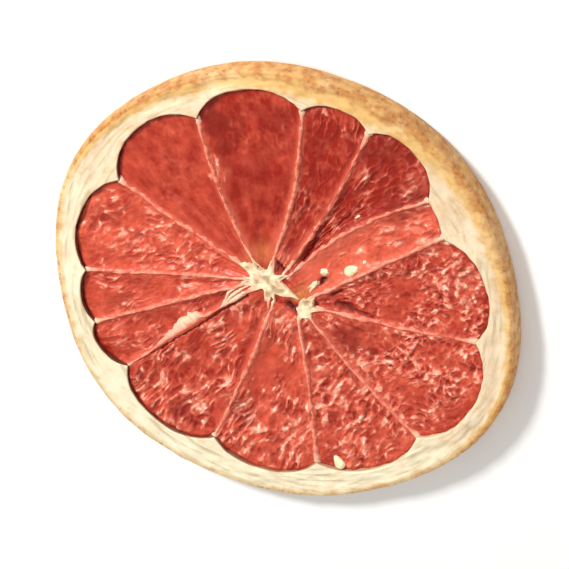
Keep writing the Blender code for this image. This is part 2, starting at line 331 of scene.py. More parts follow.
CREASES = (
    crease(-0.3, 5.1, 0.7, 3.8, 0.70, 0.8, 0.95),
    crease(1.2, -3.2, 2.4, -4.2, 1.05, 0.9, 1.0),
    crease(8.1, 2.7, 7.5, 1.9, 0.60, 0.7, 1.0),
    crease(5.9, -2.4, 6.4, -2.8, 0.60, 0.6, 0.9),
    crease(4.2, 5.8, 6.4, 9.0, 0.65, 0.5, 0.8),
    crease(6.4, 9.0, 8.0, 12.5, 0.90, 0.4, 0.6),
    crease(9.3, -0.5, 10.8, 0.2, 0.60, 0.5, 0.8),
    crease(10.4, -2.1, 13.0, -3.2, 0.75, 0.6, 0.9),
    crease(13.0, -3.2, 16.5, -4.4, 0.40, 0.5, 0.8),
    crease(-6.6, -1.9, -11.5, -5.2, 0.45, 0.6, 0.85),
    crease(-11.5, -5.2, -17.0, -9.4, 0.30, 0.5, 0.75),
    crease(-17.0, -9.4, -28.5, -16.9, 0.22, 0.4, 0.7),
)
TORN_EDGES = (Unevenness(0.35 * MM, 0.8 * MM, 71.0), Unevenness(0.35 * MM, 0.8 * MM, 72.0))


def between(start, end, share):
    return start + (end - start) * share


def eased(share):
    """From 0 to 1 with a gentle start and end."""
    share = min(max(share, 0.0), 1.0)
    return share * share * (3.0 - 2.0 * share)


def ramp(value, start, end):
    """From 0 at one value to 1 at another, with a gentle start and end."""
    return eased((value - start) / (end - start))


def heading(direction):
    return Vector((cos(direction), sin(direction)))


def facing(direction, degrees):
    """From 1 in the direction that is given in degrees to 0 in the opposite one."""
    return 0.5 + 0.5 * cos(direction - radians(degrees))


def waves(table, direction):
    """The sum of a table's waves in one direction."""
    return sum(height * cos(count * (direction - radians(crest))) for count, height, crest in table)


def onwards(start, end, share):
    """A direction between two others given in degrees, going anticlockwise."""
    return radians(start + (end - start) % 360.0 * share)


def oval_radius(direction, half_length, half_width, long_direction):
    """How far an oval reaches in one direction from its middle."""
    turned = heading(direction - radians(long_direction))
    return 1.0 / sqrt((turned.x / half_length) ** 2 + (turned.y / half_width) ** 2)


def core_edge(direction):
    """The point of the core's oval outline that lies in one direction from its middle."""
    radius = oval_radius(direction, CORE_HALF_LENGTH, CORE_HALF_WIDTH, CORE_DIRECTION)
    return CORE_MIDDLE + heading(direction) * radius


class Column:
    """A line from the core to the rim, at a share of the way over one segment."""

    def __init__(self, segment, across):
        first = MEMBRANES[segment]
        second = MEMBRANES[(segment + 1) % len(MEMBRANES)]
        self.segment = segment
        self.across = across
        self.direction = onwards(first.cusp, second.cusp, across)
        self.span = onwards(0.0, second.cusp - first.cusp, 1.0)
        bulge = first.lobe - (first.reach + second.reach) / 2.0
        fullness = 1.0 - abs(2.0 * across - 1.0) ** LOBE_FULLNESS
        self.reach = between(first.reach, second.reach, across) + bulge * fullness
        self.bow = between(first.bow, second.bow, across)
        self.inner = core_edge(onwards(first.root, second.root, across))
        self.outer = heading(self.direction) * self.reach
        self.rim = RIM_RADIUS + waves(RIM_WAVES, self.direction)
        self.ridge_half_width = (first if across < 0.5 else second).half_width
        line = self.outer - self.inner
        self.length = line.length
        self.sideways = Vector((-line.y, line.x)).normalized()

    def in_pulp(self, along):
        """The point at a share of the way from the core to the pith."""
        line = self.outer - self.inner
        return self.inner + line * along + self.sideways * self.bow * sin(pi * along)

    def to_membrane(self, along):
        """How far a point of the pulp lies from the nearest membrane."""
        return min(self.across, 1.0 - self.across) * self.span * self.reach * max(along, 0.0)

    def past_end(self, along):
        """How far a point lies past either end of the pulp."""
        return max(along - 1.0, -along, 0.0) * self.length


def face_height(point, face):
    """The height of the peel's top or under face, warped by drying, carried on over the pulp."""
    lift = waves(LIFT_WAVES, atan2(point.y, point.x)) * eased(point.length / RIM_RADIUS)
    if face == TOP:
        return THICKNESS + lift * TOP_LIFT_SHARE
    return max(lift, 0.0)


def in_face(point, depth, face):
    """A point of the plan, at a depth inside one face of the slice."""
    height = face_height(point, face) - face * depth
    return Vector((point.x, point.y, max(height, 0.0)))


def crease_depths(point, face):
    """How far a point lies down the creases of the top face, and how much painted shade they put on it."""
    depth, dark = 0.0, 0.0
    ragged = point + Vector([edge.at(point) for edge in TORN_EDGES])
    for torn in CREASES if face == TOP else ():
        line = torn.end - torn.start
        share = min(max((ragged - torn.start).dot(line) / line.length_squared, 0.0), 1.0)
        off = (ragged - torn.start - line * share).length / torn.radius
        if off < NEGLIGIBLE:
            near = exp(-off * off)
            depth = max(depth, torn.depth * near)
            dark = max(dark, torn.dark * near * near)
    return depth, dark


def amber_share(point, face):
    """How far the flesh is stained amber."""
    if face == UNDER:
        return 0.0
    near = [
        strength * exp(-((point.x - x) ** 2 + (point.y - y) ** 2) / radius**2)
        for x, y, radius, strength in AMBER_SPOTS
    ]
    return max(near) * (1.0 + AMBER_CLOUDS.at(point))


def patches_at(point, face):
    """How far the patches darken, smooth and pale the flesh at a point."""
    darkening, smoothing, paleness = 0.0, 0.0, 0.0
    for patch in PATCHES if face == TOP else ():
        off = hypot(point.x - patch.x * MM, point.y - patch.y * MM) / (patch.radius * MM)
        if off < NEGLIGIBLE:
            near = eased(PATCH_FULLNESS - PATCH_FADING * off + PATCH_EDGE.at(point))
            darkening = max(darkening, patch.darkening * near)
            smoothing = max(smoothing, patch.smoothing * near)
            paleness = max(paleness, patch.paleness * near)
    return darkening, smoothing, paleness


class Sac(NamedTuple):
    """Where a point lies in its juice sac."""

    wall: float  # 1 on the wall, 0 away from it
    bowl: float  # 0 on the wall, 1 in the middle
    lot: float  # the sac's own random number, from 0 to 1


def sac_flow(column, along, point, flesh):
    """How far across the flesh's juice sacs, how many sacs along them, and the flesh's tone."""
    if flesh.strokes is RADIAL:
        spread = between(max(along, 0.0), RADIAL_SPREAD, 0.5)
        side = (column.across - 0.5) * column.span * column.reach * spread
        return Vector((side, column.length * along / flesh.sac_length, flesh.tone))
    along_them = heading(radians(flesh.strokes))
    side = point.x * along_them.y - point.y * along_them.x + STROKE_BEND.at(point)
    return Vector((side, point.dot(along_them) / flesh.sac_length, flesh.tone))


def juice_sac(segment, flow, point, face):
    """The juice sac that a point of the pulp lies in, from the coordinates along the sacs."""
    side = flow.x + SAC_BEND.at(point, face) + SAC_WOBBLE.at(point, face)
    out = flow.y + SAC_SHIFT.at(point, face)
    distances, cells = noise.voronoi(Vector((side / SAC_WIDTH, out, SEGMENT_STEP * segment + face)))
    gap = distances[1] - distances[0]
    lot = 0.5 + 0.5 * noise.cell(cells[0] * LOT_STEP)
    return Sac(1.0 - eased(gap / SAC_WALL_SHARE), eased(gap / SAC_BOWL_SHARE), lot)


class Surface(NamedTuple):
    """What a point of the flesh is like."""

    place: Vector
    flow: Vector  # how far across the sacs, how many sacs along them, and the flesh's tone
    web: float  # how far the sacs stand out there
    wall: float  # how far it is on the wall of a juice sac
    deep: float  # how dark it is: dark patches, painted shade in creases and the deepest sacs, and browning with painted shadow along the pith
    pink: float  # how far it has the paleness of a segment wall
    amber: float  # how far it is stained amber by the core


def edge_browning_and_shadow(direction):
    """How dark the flesh's edge is painted: partly browning, and partly painted shadow of the pith's edge,
    nearly black at the left and faint at the right.
    """
    return between(LEAST_BROWNED, 1.0, sqrt(facing(direction, EDGE_SHADOW_DIRECTION)))


def edge_dip(along):
    """How much further the flesh has sunk close to the pith."""
    return EDGE_DIP * ramp(along, EDGE_DIP_START, 1.0)


def pulp_depth(column, along, point, face):
    """How far the pulp lies inside the face, with its sag, its lumps and the ridges of the walls."""
    middle = 1.0 - abs(2.0 * column.across - 1.0)
    sag = PULP_SAG * sqrt(middle) * eased(along / SAG_START)
    sag *= between(1.0, OUTER_SAG, ramp(along, 0.5, 1.0))
    ridge = MEMBRANE_RISE / (1.0 + (column.to_membrane(along) / column.ridge_half_width) ** 2)
    turned = column.direction * RIM_RADIUS / 2.0 / LUMP_WIDTH
    lump = LUMP_HEIGHT * noise.noise(Vector((turned, point.length / LUMP_LENGTH, FACE_STEP * face)))
    lump *= eased(middle / LUMP_FADING_ACROSS) * eased(along / LUMP_FADING_ALONG)
    return PULP_DROP + sag + edge_dip(along) - ridge - lump


def pulp_surface(column, along, face):
    """One point of the pulp, with its sag, its lumps, its juice sacs and its colouring."""
    point = column.in_pulp(along)
    flesh = FLESHES[column.segment]
    to_membrane = column.to_membrane(along)
    to_pith = (1.0 - along) * column.length
    darkening, smoothing, paleness = patches_at(point, face)
    clearing = eased(0.5 + CLEARINGS.at(point, face))
    web = max(flesh.web, PALE_WEB * paleness) * (1.0 - smoothing)
    web *= between(CLEARED_WEB, 1.0, max(clearing, paleness))

    flow = sac_flow(column, along, point, flesh)
    sac = juice_sac(column.segment, flow, point, face)
    knob = KNOBS.at(point, face)
    inside = between(SAC_BY_MEMBRANE, 1.0, eased(to_membrane / SAC_FULL)) * eased(to_pith / SAC_END)
    relief = SAC_SINK * (sac.bowl - BOWL_LEVEL) * web
    relief += SAC_STEP * (sac.lot - 0.5) * between(LEAST_STEP, 1.0, web)
    relief = relief * inside + KNOB_HEIGHT * knob * between(LEAST_KNOB, 1.0, web)
    torn, crease_shade = crease_depths(point, face)
    depth = pulp_depth(column, along, point, face) + relief + torn
    depth += END_SLOPE * column.past_end(along)

    # The deepest sacs are painted darker, as shade in them
    sunk = ramp(sac.lot, *SUNK_LOTS) * sac.bowl * SUNK_SHADE * web
    # A dark line along the pith: partly browning, partly painted shadow of the pith's edge
    edge_line = 1.0 - eased((to_pith + EDGE_LINE_WAVER * knob) / EDGE_LINE_WIDTH)
    edge_line *= edge_browning_and_shadow(column.direction)
    edge_line *= between(EDGE_LINE_FADED, 1.0, eased(0.5 + EDGE_FADING.at(point)))
    deep = max(sunk, darkening, crease_shade, edge_line)
    pink = exp(-((to_membrane / PINK_WIDTH) ** 2)) * PINK_SHARE * (1.0 - edge_line)
    pink *= eased(along * column.length / PINK_START)
    wall = max(sac.wall * web * (WALL_SHOWING - WALL_WAVER * knob), PALE_WALL * paleness)
    wall = min(wall, 1.0) * inside
    return Surface(in_face(point, depth, face), flow, web, wall, deep, pink, amber_share(point, face))


def closed_sheet(columns, rows):
    """A unit grid and its underside, joined round the edge, with the under points marked."""
    bm = bmesh.new()
    under = bm.verts.layers.int.new("under")
    bmesh.ops.create_grid(bm, x_segments=columns, y_segments=rows, size=0.5)
    made = bmesh.ops.extrude_face_region(bm, geom=bm.faces[:])
    for part in made["geom"]:
        if isinstance(part, bmesh.types.BMVert):
            part[under] = 1
    return bm, under


def crowded(share, crowding):
    """Moves a share of the way from one end to the other towards the nearer end."""
    return share - crowding * sin(tau * share) / tau


FLESH_MASKS = ("web", "wall", "deep", "pink", "amber")


def flesh_layers(bm):
    """Adds the layers that the flesh's material reads."""
    flow = bm.verts.layers.float_vector.new("flow")
    return flow, [bm.verts.layers.float.new(name) for name in FLESH_MASKS]


def mark_flesh(vert, layers, surface):
    """Puts a point in its place and stores what its flesh is like."""
    flow, masks = layers
    vert.co = surface.place
    vert[flow] = surface.flow
    for mask, name in zip(masks, FLESH_MASKS):
        vert[mask] = getattr(surface, name)


def pulp_piece(segment, material):
    """The dried flesh of one segment."""
    bm, under = closed_sheet(PULP_COLUMNS, PULP_ROWS)
    layers = flesh_layers(bm)
    columns = [
        Column(segment, crowded(step / PULP_COLUMNS, PULP_CROWDING)) for step in range(PULP_COLUMNS + 1)
    ]
    for vert in bm.verts:
        column = columns[round((vert.co.x + 0.5) * PULP_COLUMNS)]
        tuck_in, tuck_out = CORE_TUCK / column.length, PULP_TUCK / column.length
        along = between(-tuck_in, 1.0 + tuck_out, vert.co.y + 0.5)
        mark_flesh(vert, layers, pulp_surface(column, along, UNDER if vert[under] else TOP))
    return finished(bm, f"pulp_{segment + 1:02d}", material)


def unit_grid(columns, rows):
    bm = bmesh.new()
    bmesh.ops.create_grid(bm, x_segments=columns, y_segments=rows, size=0.5)
    return bm


def grid_place(vert, columns, rows):
    """The column and row of a point of a unit grid. The last column lies on the first."""
    return round((vert.co.x + 0.5) * columns) % columns, round((vert.co.y + 0.5) * rows)


def closed_up(bm):
    """Joins the points that lie on each other, at a seam or a pole."""
    bmesh.ops.remove_doubles(bm, verts=bm.verts, dist=0.0001 * MM)


class Ribbon(NamedTuple):
    """How one wall between two segments looks at a distance from the core."""

    half_width: float
    lean: float  # how far it has fallen over, to its clockwise side
    cream: float


def ribbon(index, fold, to_core, to_pith):
    """A wall's width, lean and paleness. The one that fell over lies broad and pale in its middle."""
    if fold:
        fading = ramp(to_core, FOLD_LENGTH, FOLD_LENGTH - FOLD_FADING)
        return Ribbon(FOLD_HALF_WIDTH, fold * FOLD_STEP * fading, FOLD_CREAM)
    cream = max(exp(-max(to_core, 0.0) / CREAM_AT_CORE), exp(-max(to_pith, 0.0) / CREAM_AT_PITH))
    if index != FALLEN_MEMBRANE:
        breadth = between(*WALL_WIDTHS, MEMBRANES[index].half_width / WALL_HALF_WIDTH)
        return Ribbon(WALL_HALF_WIDTH * breadth, 0.0, cream)
    broad = ramp(to_core, *FALLEN_START) * ramp(to_core, *FALLEN_END)
    by_core = ramp(to_core, *FALLEN_BY_CORE)
    half_width = between(*FALLEN_HALF_WIDTHS, broad) + FALLEN_CORE_WIDTH * by_core
    cream = max(cream, FALLEN_CREAM * broad, FALLEN_CORE_CREAM * by_core)
    return Ribbon(half_width, FALLEN_LEAN * broad, cream)


def membrane_piece(index, fold, material):
    """One wall between two segments: a thin upright ribbon whose nodular edge shows on both faces.

    The wall that fell over has folds as well, counted from 1, which lie beside it near the core.
    """
    bm = unit_grid(WALL_SIDES, WALL_RINGS)
    cream = bm.verts.layers.float.new("cream")
    column = Column(index, 0.0)
    end = FOLD_LENGTH if fold else column.length + WALL_IN_PITH
    for vert in bm.verts:
        side, ring = grid_place(vert, WALL_SIDES, WALL_RINGS)
        is_end = ring in (0, WALL_RINGS)
        share = min(max((ring - 1.0) / (WALL_RINGS - 2.0), 0.0), 1.0)
        along = between(-WALL_IN_CORE, end, share) / column.length
        point = column.in_pulp(along)
        to_core, to_pith = along * column.length, (1.0 - along) * column.length
        wall = ribbon(index, fold, to_core, to_pith)
        turn = tau * side / WALL_SIDES
        face = TOP if sin(turn) > 0.0 else UNDER

        pleat_place = Vector((to_core / PLEAT_SPACING, PLEAT_SLANT * cos(turn), PLEAT_PATTERN))
        pleat = wall.cream * noise.noise(pleat_place)
        nodule = sum(nodules.at(point, index) for nodules in NODULES)
        nodule = nodule * between(1.0, CREAM_NODULES, wall.cream) + PLEAT_WIDTH * pleat
        width = max(wall.half_width * (1.0 + nodule), THINNEST_WALL)
        width += FLARE_WIDTH * exp(-max(to_pith, 0.0) / FLARE_LENGTH)
        sway = WALL_SWAY.at(point, index) + wall.lean
        gone = MEMBRANES[index].broken * eased(BREAK_LEVEL + BREAKS.at(point, index))
        gone *= eased(to_core / FIRST_BREAK) * (1.0 - wall.cream)

        depth = PULP_DROP - WALL_STANDING + BREAK_DEPTH * gone + edge_dip(along)
        depth += (FOLD_DROP if fold else FALLEN_DROP) * wall.lean - NODULE_HEIGHT * nodule
        depth += crease_depths(point, face)[0] + column.past_end(along)
        upright = 0.0 if is_end else abs(sin(turn)) ** WALL_SHARPNESS
        height = between(THICKNESS / 2.0, in_face(point, depth, face).z, upright)
        across = column.sideways * (-sway if is_end else cos(turn) * width - sway)
        vert.co = Vector((point.x + across.x, point.y + across.y, height))
        vert[cream] = wall.cream * (PLEAT_CREAM + PLEAT_STRIPES * pleat)
    closed_up(bm)
    name = f"membrane_{index + 1:02d}"
    return finished(bm, f"{name}_fold_{fold}" if fold else name, material)


def peel_stations():
    """The peel's section as a closed loop. Each point is a share of the way over one of its parts."""
    counts = [(part, rows // PEEL_ROW_STEP) for part, rows in PEEL_ROWS]
    return [(part, step / count) for part, count in counts for step in range(count)]


def peel_wrinkle(column, radius, face):
    """Fine wrinkles of the pith, which run round the ring, and its shallow lumps."""
    point = heading(column.direction) * radius
    round_ring = column.direction * RIM_RADIUS / WRINKLE_LENGTH
    outwards = (radius + WRINKLE_BEND.at(point)) / WRINKLE_SPACING
    wrinkle = noise.noise(Vector((round_ring, outwards, FACE_STEP * face)))
    return WRINKLE_HEIGHT * wrinkle + PITH_LUMPS.at(point, face)


def on_peel(column, radius, face):
    """The point of the peel's top or under face at one radius of a column."""
    from_lip, from_rim = radius - column.reach, column.rim - radius
    depth = LIP_DROP * (1.0 - eased(from_lip / LIP_WIDTH)) ** 2
    if face == TOP:
        off = (from_lip / (column.rim - column.reach) - FURROW_PLACE) / FURROW_WIDTH
        depth += FURROW * facing(column.direction, FURROW_DIRECTION) * exp(-off * off)
    depth += SHOULDER_DROP * (1.0 - eased(from_rim / SHOULDER_WIDTH)) ** 2
    depth += peel_wrinkle(column, radius, face)
    return in_face(heading(column.direction) * radius, depth, face)


def peel_point(column, part, share):
    """The place of one point of the peel, and how far it is rind rather than pith."""
    inner = column.reach + LIP_WAVER.at(heading(column.direction) * column.reach)
    shoulder = column.rim - RIM_TURN
    if part in ("top", "under"):
        face = TOP if part == "top" else UNDER
        out = crowded(share if face == TOP else 1.0 - share, PEEL_CROWDING)
        radius = between(inner, shoulder, out)
        golden = facing(column.direction, GOLDEN_DIRECTION) ** GOLDEN_NARROWNESS
        rind = eased(1.0 - (column.rim - radius - RIND_EDGE) / between(*GOLDEN_WIDTHS, golden))
        return on_peel(column, radius, face), rind
    if part == "wall":
        low, high = on_peel(column, inner, UNDER), on_peel(column, inner, TOP)
        return Vector((low.x, low.y, between(low.z, high.z, share))), 0.0
    turn = between(pi / 2.0, -pi / 2.0, share)
    high, low = on_peel(column, shoulder, TOP).z, on_peel(column, shoulder, UNDER).z
    bulge = cos(turn) ** RIM_FULLNESS * (RIM_TURN + RIM_BELLY)
    spread = abs(sin(turn)) ** RIM_SQUARENESS * (1.0 if turn > 0.0 else -1.0)
    round_rim = Vector((column.direction * RIM_RADIUS, spread * THICKNESS / 2.0, 0.0))
    dent = RIM_DENT * noise.noise(round_rim / RIM_DENT_SIZE) * cos(turn)
    out = heading(column.direction) * (shoulder + bulge + dent)
    return Vector((out.x, out.y, (high + low) / 2.0 + spread * (high - low) / 2.0)), 1.0


def peel_piece(material):
    """The ring of pith with its rind."""
    stations = peel_stations()
    count = PEEL_COLUMNS_IN_SEGMENT * len(MEMBRANES)
    bm = unit_grid(count, len(stations))
    rind = bm.verts.layers.float.new("rind")
    browning_and_shadow = bm.verts.layers.float.new("browning_and_shadow")
    toasted = bm.verts.layers.float.new("toasted")
    round_ring = bm.verts.layers.float_vector.new("flow")
    columns = []
    for turn in range(count):
        segment, step = divmod(turn, PEEL_COLUMNS_IN_SEGMENT)
        columns.append(Column(segment, crowded(step / PEEL_COLUMNS_IN_SEGMENT, PEEL_CROWDING)))
    for vert in bm.verts:
        turn, row = grid_place(vert, count, len(stations))
        column = columns[turn]
        part, share = stations[row % len(stations)]
        vert.co, vert[rind] = peel_point(column, part, share)
        radius = hypot(vert.co.x, vert.co.y)
        vert[round_ring] = (column.direction * RIM_RADIUS, radius, vert.co.z)
        toast = TOASTED_CONTRAST * cos(column.direction - radians(TOASTED_DIRECTION))
        vert[toasted] = eased(TOASTED_LEVEL + toast)
        from_lip = 0.0 if part == "wall" else max(radius - column.reach, 0.0)
        # The lip and the inner wall are painted dark as well: partly browning, partly painted shadow
        vert[browning_and_shadow] = exp(-from_lip / BROWNED_AND_SHADED_LIP_WIDTH) * edge_browning_and_shadow(column.direction)
    closed_up(bm)
    return finished(bm, "peel", material)


# The flesh that has shrunk and sunk between the core's two lobes
BED_TUCK = 1.0 * MM
BED_DROP = 0.48 * MM
BED_LUMPS = (Unevenness(0.30 * MM, 1.5 * MM, 63.0), Unevenness(0.12 * MM, 0.6 * MM, 64.0))
BED_WEB, BED_TONE, BED_SAC_LENGTH = 0.5, 0.45, 3.0 * MM


class Lobe(NamedTuple):
    """A lobe of the core's pith: an oval with tapered arms, most of them along a membrane."""

    middle: Vector
    half_length: float
    half_width: float
    direction: float
    arms: dict  # how far each arm runs beyond the core's edge, by the index of its membrane
    spurs: tuple  # where its free arms end


CORE_LOBES = (
    Lobe(
        plan_mm(-2.2, 1.6),
        4.9 * MM,
        1.80 * MM,
        -35.0,
        {3: 3.6 * MM, 4: 2.8 * MM, 5: 4.0 * MM, 6: 3.0 * MM, 7: 2.4 * MM, 8: 4.0 * MM, 9: 3.0 * MM},
        (plan_mm(2.6, 3.4), plan_mm(-3.4, -3.6), plan_mm(-1.2, -3.0), plan_mm(3.2, -1.6)),
    ),
    Lobe(
        plan_mm(4.2, -3.3),
        2.1 * MM,
        1.25 * MM,
        84.0,
        {10: 2.4 * MM, 11: 3.0 * MM, 12: 3.6 * MM, 0: 2.4 * MM},
        (plan_mm(5.9, -2.3),),
    ),
)
ARM_HALF_WIDTH = 0.95 * MM
ARM_WEBBING = 5.0  # a low power joins the arms by wide webs, and a high one by sharp corners
LOBE_WAVER = Unevenness(0.14, 0.45, 66.0)  # its size is a share of the reach
# A lobe slopes into the flesh from this share of the way out, and its last points lie in it
LOBE_DROP, LOBE_EDGE, LOBE_SUNK, LOBE_ROOT = 0.07 * MM, 0.80, 0.10 * MM, 1.0 * MM
FIBRE_HEIGHT, FIBRES_TO_RADIAN, FIBRE_LENGTH, FIBRE_PATTERN = 0.10 * MM, 5.0, 2.0 * MM, 60.0
LOBE_LUMPS = Unevenness(0.10 * MM, 1.3 * MM, 61.0)
PITS = Unevenness(1.0, 1.3 * MM, 65.0)
PIT_LEVELS, PIT_DEPTH = (0.10, 0.60), 0.22 * MM
PITTED_SHARE = 2.0 / 3.0  # the pits fade from this share of the way out
ARM_PINK_START = 1.2  # as a share of the oval's own reach


def drum_place(vert, columns, rings):
    """Where a grid's point goes in a drum: its direction, its share of the way out, and its face."""
    turn, row = grid_place(vert, columns, 2 * rings)
    return tau * turn / columns, 1.0 - abs(row - rings) / rings, TOP if row <= rings else UNDER


def core_bed_piece(material):
    """The sunken flesh under the core's lobes."""
    bm = unit_grid(BED_COLUMNS, 2 * BED_RINGS)
    layers = flesh_layers(bm)
    for vert in bm.verts:
        direction, share, face = drum_place(vert, BED_COLUMNS, BED_RINGS)
        outline = core_edge(direction) - CORE_MIDDLE
        point = CORE_MIDDLE + outline * share * (1.0 + BED_TUCK / outline.length)
        torn, crease_shade = crease_depths(point, face)
        depth = BED_DROP + sum(lumps.at(point, face) for lumps in BED_LUMPS) + torn
        if share == 1.0:
            depth = THICKNESS / 2.0
        flow = Vector((point.x, point.y / BED_SAC_LENGTH, BED_TONE))
        place = in_face(point, depth, face)
        amber = amber_share(point, face)
        mark_flesh(vert, layers, Surface(place, flow, BED_WEB, 0.0, crease_shade, 0.0, amber))
    closed_up(bm)
    return finished(bm, "core_bed", material)


def core_lobe_piece(number, material):
    """One pithy lobe of the core, fibrous, with its arms sunk into the flesh at their ends."""
    lobe = CORE_LOBES[number]
    tips = [spur - lobe.middle for spur in lobe.spurs]
    for index, length in lobe.arms.items():
        column = Column(index, 0.0)
        tips.append(column.in_pulp(length / column.length) - lobe.middle)
    bm = unit_grid(LOBE_COLUMNS, 2 * LOBE_RINGS)
    pit_shade = bm.verts.layers.float.new("pit_shade")
    pink = bm.verts.layers.float.new("pink")
    for vert in bm.verts:
        direction, share, face = drum_place(vert, LOBE_COLUMNS, LOBE_RINGS)
        oval = oval_radius(direction, lobe.half_length, lobe.half_width, lobe.direction)
        reaches = [oval]
        for tip in tips:
            off = (direction - atan2(tip.y, tip.x) + pi) % tau - pi
            if abs(off) < pi / 2.0:
                reaches.append(1.0 / (sin(abs(off)) / ARM_HALF_WIDTH + 1.0 / tip.length))
        reach = sum(each**ARM_WEBBING for each in reaches) ** (1.0 / ARM_WEBBING)
        reach *= 1.0 + LOBE_WAVER.at(heading(direction), number)
        point = lobe.middle + heading(direction) * reach * share

        fibre_place = (direction * FIBRES_TO_RADIAN, point.length / FIBRE_LENGTH, FIBRE_PATTERN + face)
        fibre = noise.noise(Vector(fibre_place))
        pit = ramp(PITS.at(point, face), *PIT_LEVELS) * ramp(share, 1.0, PITTED_SHARE)
        lumps = FIBRE_HEIGHT * fibre * share + LOBE_LUMPS.at(point, face) + PIT_DEPTH * pit
        depth = between(LOBE_DROP + lumps, PULP_DROP + LOBE_SUNK, ramp(share, LOBE_EDGE, 1.0) ** 2)
        if share == 1.0:
            depth = PULP_DROP + LOBE_ROOT
        vert.co = in_face(point, depth, face)
        # The pits are painted darker, as shade in them
        vert[pit_shade] = pit
        vert[pink] = eased((point - lobe.middle).length / (ARM_PINK_START * oval) - 1.0)
    closed_up(bm)
    return finished(bm, f"core_{number + 1}", material)


# How finely a pip or a crumb is divided, how thin its one end is, and its lumps' heights and fineness
PIP_SHAPE = (4, 0.62, ((0.10, 1.7),))
CRUMB_SHAPE = (3, 1.0, ((0.55, 1.6), (0.40, 3.4)))

# Pips in the top face: each one's segment, how far it lies over and along it, and its direction
PIPS = ((0, 0.16, 0.36, 30.0), (10, 0.19, 0.955, 115.0))
PIP_HALF_SIZES = (1.50 * MM, 1.15 * MM, 0.75 * MM)
PIP_RAISED = Vector((0.0, 0.0, 0.1 * MM))

# Crumbs of pith that stuck to the flesh: where each lies, its half sizes and its direction
CRUMBS = (
    (6.2 * MM, 1.4 * MM, (1.45 * MM, 0.50 * MM, 0.40 * MM), 48.0),
    (8.2 * MM, 4.0 * MM, (0.90 * MM, 0.65 * MM, 0.42 * MM), 15.0),
    (15.8 * MM, 6.6 * MM, (0.45 * MM, 0.35 * MM, 0.28 * MM), 30.0),
    (15.2 * MM, 15.4 * MM, (0.70 * MM, 0.30 * MM, 0.22 * MM), 35.0),
    (34.0 * MM, 3.4 * MM, (0.45 * MM, 0.35 * MM, 0.25 * MM), 70.0),
)
CRUMB_SUNK = Vector((0.0, 0.0, 0.12 * MM))


def add_kernel(bm, shape, place, half_sizes, direction, seed):
    """Adds a pip or a crumb to a mesh: a ball made a lumpy drop, turned and put in its place."""
    subdivisions, thin_end, lumps = shape
    made = bmesh.ops.create_icosphere(bm, subdivisions=subdivisions, radius=1.0)["verts"]
    shift = Vector((SEED_STEP * seed, 0.0, 0.0))
    for vert in made:
        taper = between(1.0, thin_end, eased(0.5 + 0.5 * vert.co.x))
        bump = 1.0 + sum(height * noise.noise(vert.co * fineness + shift) for height, fineness in lumps)
        drop = Vector((vert.co.x, vert.co.y * taper, vert.co.z * taper)) * bump
        vert.co = Vector([size * length for size, length in zip(drop, half_sizes)])
    turn = Matrix.Rotation(radians(direction), 4, "Z")
    bmesh.ops.transform(bm, matrix=Matrix.Translation(place) @ turn, verts=made)


def top_of_pieces(x, y):
    """The highest point of the pieces made so far at one place of the plan."""
    bpy.context.view_layer.update()
    graph = bpy.context.evaluated_depsgraph_get()
    well_above = Vector((x, y, 4.0 * THICKNESS))
    return bpy.context.scene.ray_cast(graph, well_above, Vector((0.0, 0.0, -1.0)))[1]


def pip_piece(index, material):
    """An undeveloped pip: a small flattened drop, half sunk in the pulp."""
    segment, across, along, direction = PIPS[index]
    bm = bmesh.new()
    pulp = pulp_surface(Column(segment, across), along, TOP)
    add_kernel(bm, PIP_SHAPE, pulp.place + PIP_RAISED, PIP_HALF_SIZES, direction, index)
    return finished(bm, f"pip_{index + 1}", material)


def crumbs_piece(material):
    """The crumbs, each sunk a little way into the flesh under it."""
    bm = bmesh.new()
    for seed, (x, y, half_sizes, direction) in enumerate(CRUMBS):
        add_kernel(bm, CRUMB_SHAPE, top_of_pieces(x, y) - CRUMB_SUNK, half_sizes, direction, seed)
    return finished(bm, "crumbs", material)


def finished(bm, name, material):
    """Turns a mesh into a shown piece that rides on the slice's body and stands for its solid."""
    bmesh.ops.recalc_face_normals(bm, faces=bm.faces)
    mesh = bpy.data.meshes.new(name)
    bm.to_mesh(mesh)
    bm.free()
    mesh.materials.append(material)
    mesh.shade_smooth()
    piece = bpy.data.objects.new(name, mesh)
    bpy.context.scene.collection.objects.link(piece)
    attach(piece, "root")
    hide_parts("slice")
    return piece


def linear(hex_colour):
    """An sRGB colour such as #c8483a as linear red, green, blue and alpha."""
    shares = [int(hex_colour[i : i + 2], 16) / 255.0 for i in (1, 3, 5)]
    return [s / 12.92 if s <= 0.04045 else ((s + 0.055) / 1.055) ** 2.4 for s in shares] + [1.0]


# Light that dried citrus lets in comes out within this distance, and its relief has this strength
SCATTERING = 0.6 * MM
RELIEF_STRENGTH = 0.6


